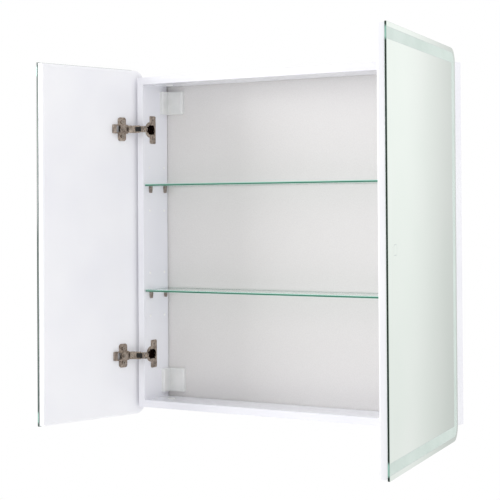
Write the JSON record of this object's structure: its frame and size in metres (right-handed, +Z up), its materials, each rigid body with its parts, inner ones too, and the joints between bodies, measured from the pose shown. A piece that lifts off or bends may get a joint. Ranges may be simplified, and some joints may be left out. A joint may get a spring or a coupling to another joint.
{
  "type": "mirrored bathroom wall cabinet",
  "caption": "White wall-hung bathroom cabinet: mirror doors with frosted light bands on concealed hinges, glass shelves on pins, covered corner brackets.",
  "frame": {"origin": "middle of the four wall screws on the wall plane, which is the carcass's rear face", "axes": "+X to the right seen from the front, +Y into the wall, +Z up"},
  "size_m": [0.9607, 0.5715, 0.8],
  "materials": {
    "white_lacquer": "gloss lacquer",
    "back_board": "satin foil",
    "dowel_wood": "raw",
    "zinc": "zinc plated",
    "nickel": "dark nickel plated",
    "link_nickel": "nickel plated",
    "bright_steel": "bright plated",
    "shelf_glass": "clear float glass",
    "mirror_glass": "silvered float glass",
    "white_plastic": "satin",
    "grey_plastic": "ribbed satin",
    "black_nylon": "black nylon",
    "diffuser": "opal",
    "tape": "matte",
    "led_tape": "matte",
    "circuit": "matte",
    "rubber": "matte"
  },
  "bodies": {
    "cabinet": {"left_side_panel": "white_lacquer", "right_side_panel": "white_lacquer", "top_panel": "white_lacquer", "bottom_panel": "white_lacquer", "back_panel": "back_board", "assembly_dowels": "dowel_wood", "cam_bolts": "zinc", "cam_housings": "zinc", "cam_cover_caps": "white_plastic", "upper_glass_shelf": "shelf_glass", "lower_glass_shelf": "shelf_glass", "upper_shelf_supports": "nickel", "lower_shelf_supports": "nickel", "spare_hole_plugs": "white_plastic", "wall_brackets": "zinc", "bracket_screws": "zinc", "wall_spacers": "grey_plastic", "upper_left_corner_cover": "grey_plastic", "upper_right_corner_cover": "grey_plastic", "lower_left_corner_cover": "grey_plastic", "lower_right_corner_cover": "grey_plastic", "led_driver": "white_plastic", "driver_screws": "zinc", "cable_gland": "rubber", "cable_grommet": "rubber", "left_hinge_cups": "nickel", "left_cup_screws": "bright_steel", "right_hinge_cups": "nickel", "right_cup_screws": "bright_steel"},
    "left_door": {"left_hinge_arms": "nickel", "left_arm_pins": "bright_steel", "left_hinge_springs": "bright_steel", "left_mounting_plates": "nickel", "left_plate_screws": "bright_steel", "left_adjusting_screws": "bright_steel", "left_door_board": "white_lacquer", "left_mirror_tape": "tape", "left_mirror": "mirror_glass", "left_light_diffuser": "diffuser", "left_led_strip": "led_tape", "left_spring_blocks": "black_nylon"},
    "left_links": {"left_hinge_links": "link_nickel", "left_cup_pins": "bright_steel"},
    "right_door": {"right_hinge_arms": "nickel", "right_arm_pins": "bright_steel", "right_hinge_springs": "bright_steel", "right_mounting_plates": "nickel", "right_plate_screws": "bright_steel", "right_adjusting_screws": "bright_steel", "right_door_board": "white_lacquer", "right_mirror_tape": "tape", "right_mirror": "mirror_glass", "right_light_diffuser": "diffuser", "right_led_strip": "led_tape", "right_spring_blocks": "black_nylon", "touch_sensor": "circuit"},
    "right_links": {"right_hinge_links": "link_nickel", "right_cup_pins": "bright_steel"}
  },
  "joints": [
    {"name": "right_door_hinge", "type": "hinge", "parent": "cabinet", "child": "right_door", "pos_m": [0.378, -0.107, 0], "axis": [0, 0, 1], "range_deg": [-100.5, 3.5]},
    {"name": "left_door_hinge", "type": "hinge", "parent": "cabinet", "child": "left_door", "pos_m": [-0.378, -0.107, 0], "axis": [0, 0, -1], "range_deg": [-102.5, 1.5]},
    {"name": "right_link_pivot", "type": "hinge", "parent": "right_door", "child": "right_links", "pos_m": [0.35136, -0.12516, 0], "axis": [0, 0, 1], "range_deg": [-35.3, 1.4]},
    {"name": "left_link_pivot", "type": "hinge", "parent": "left_door", "child": "left_links", "pos_m": [-0.35201, -0.12608, 0], "axis": [0, 0, -1], "range_deg": [-36, 0.7]}
  ],
  "couplings": [
    {"joint": "right_link_pivot", "follows": "right_door_hinge", "ratio": 0.35},
    {"joint": "left_link_pivot", "follows": "left_door_hinge", "ratio": 0.35}
  ]
}
